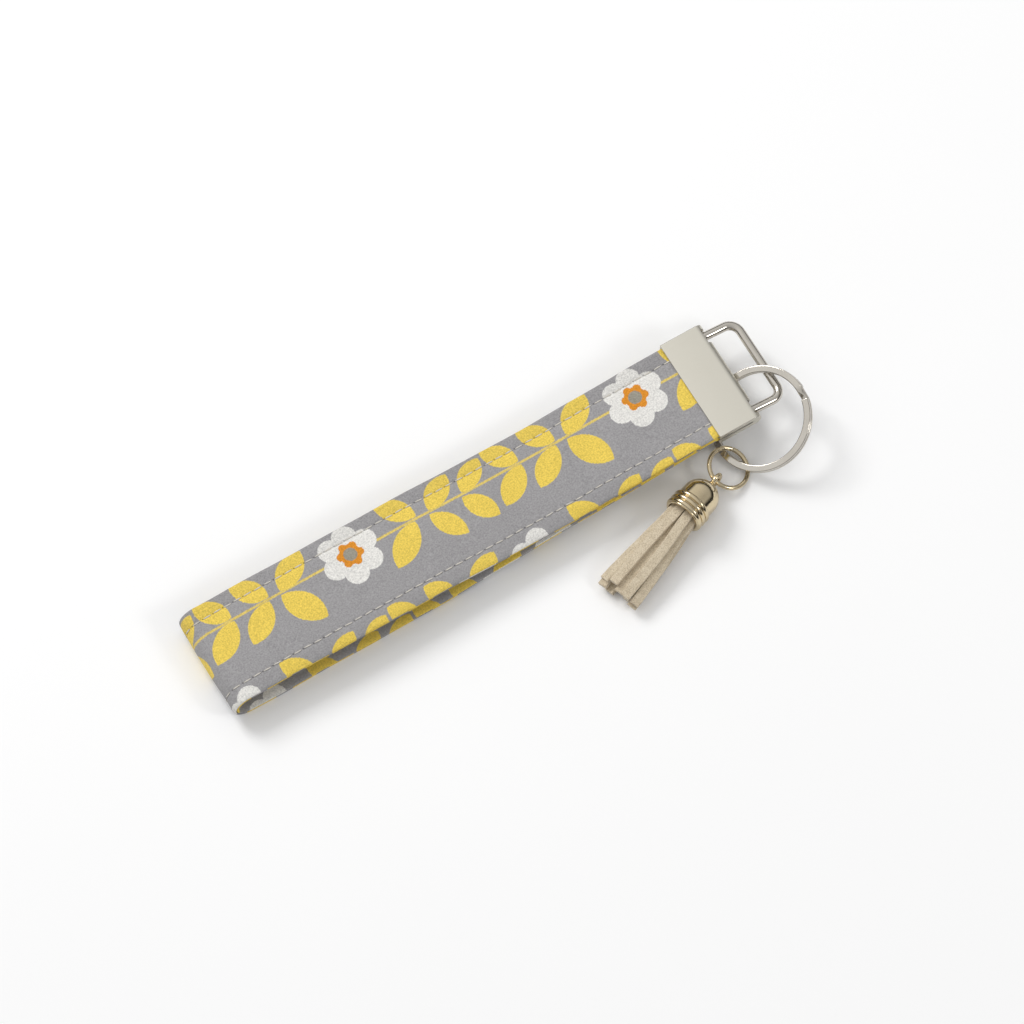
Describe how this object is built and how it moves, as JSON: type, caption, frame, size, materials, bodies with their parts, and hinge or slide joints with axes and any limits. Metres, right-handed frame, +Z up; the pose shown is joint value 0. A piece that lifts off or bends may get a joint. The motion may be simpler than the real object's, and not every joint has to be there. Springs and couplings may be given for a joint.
{
  "type": "wristlet keychain",
  "caption": "Folded fabric wrist strap crimped in a metal end clamp, with a hinged wire loop, a split key ring and a small suede tassel on a jump ring.",
  "frame": {"origin": "the middle of the strap's flat underside, on the surface that the keychain lies on", "axes": "+X along the strap from its folded end to the clamp, +Y to the strap's closed edge, +Z up"},
  "size_m": [0.1822, 0.0607, 0.0152],
  "materials": {
    "printed_cotton": "plain-weave cotton printed with leaves and daisies",
    "interfacing": "white non-woven",
    "thread": "off-white spun thread",
    "satin_nickel": "satin nickel plate with bright edges",
    "polished_nickel": "polished nickel plate",
    "pale_gold": "polished pale gold plate",
    "suede": "beige suede",
    "glue": "cured clear-amber glue"
  },
  "bodies": {
    "strap": {"strap_fabric": "printed_cotton", "strap_core": "interfacing", "near_needle_thread": "thread", "far_needle_thread": "thread", "near_bobbin_thread": "thread", "far_bobbin_thread": "thread", "clamp_shell": "satin_nickel"},
    "wire_loop": {"wire_loop": "polished_nickel"},
    "split_ring": {"split_ring": "polished_nickel"},
    "jump_ring": {"jump_ring": "pale_gold"},
    "tassel": {"tassel_eye": "pale_gold", "tassel_cap": "pale_gold", "cap_glue": "glue", "suede_tail_01": "suede", "suede_tail_02": "suede", "suede_tail_03": "suede", "suede_tail_04": "suede", "suede_tail_05": "suede", "suede_tail_06": "suede", "suede_tail_07": "suede", "suede_tail_08": "suede", "suede_tail_09": "suede", "suede_tail_10": "suede"}
  },
  "joints": [
    {"name": "loop_swing", "type": "hinge", "parent": "strap", "child": "wire_loop", "pos_m": [0.1333, 0, 0.01035], "axis": [0, -1, 0], "range_deg": [0, 20]},
    {"name": "ring_swing", "type": "hinge", "parent": "wire_loop", "child": "split_ring", "pos_m": [0.14432, 0, 0.009], "axis": [0, -1, 0], "range_deg": [0, 80]},
    {"name": "jump_ring_swing", "type": "hinge", "parent": "split_ring", "child": "jump_ring", "pos_m": [0.1248, -0.02015, 0.00195], "axis": [-0.2492, 0.9657, -0.0727], "range_deg": [-12, 25]},
    {"name": "tassel_swing", "type": "hinge", "parent": "jump_ring", "child": "tassel", "pos_m": [0.11604, -0.02374, 0.0045], "axis": [-0.342, 0.9397, 0], "range_deg": [-50, 80]}
  ]
}
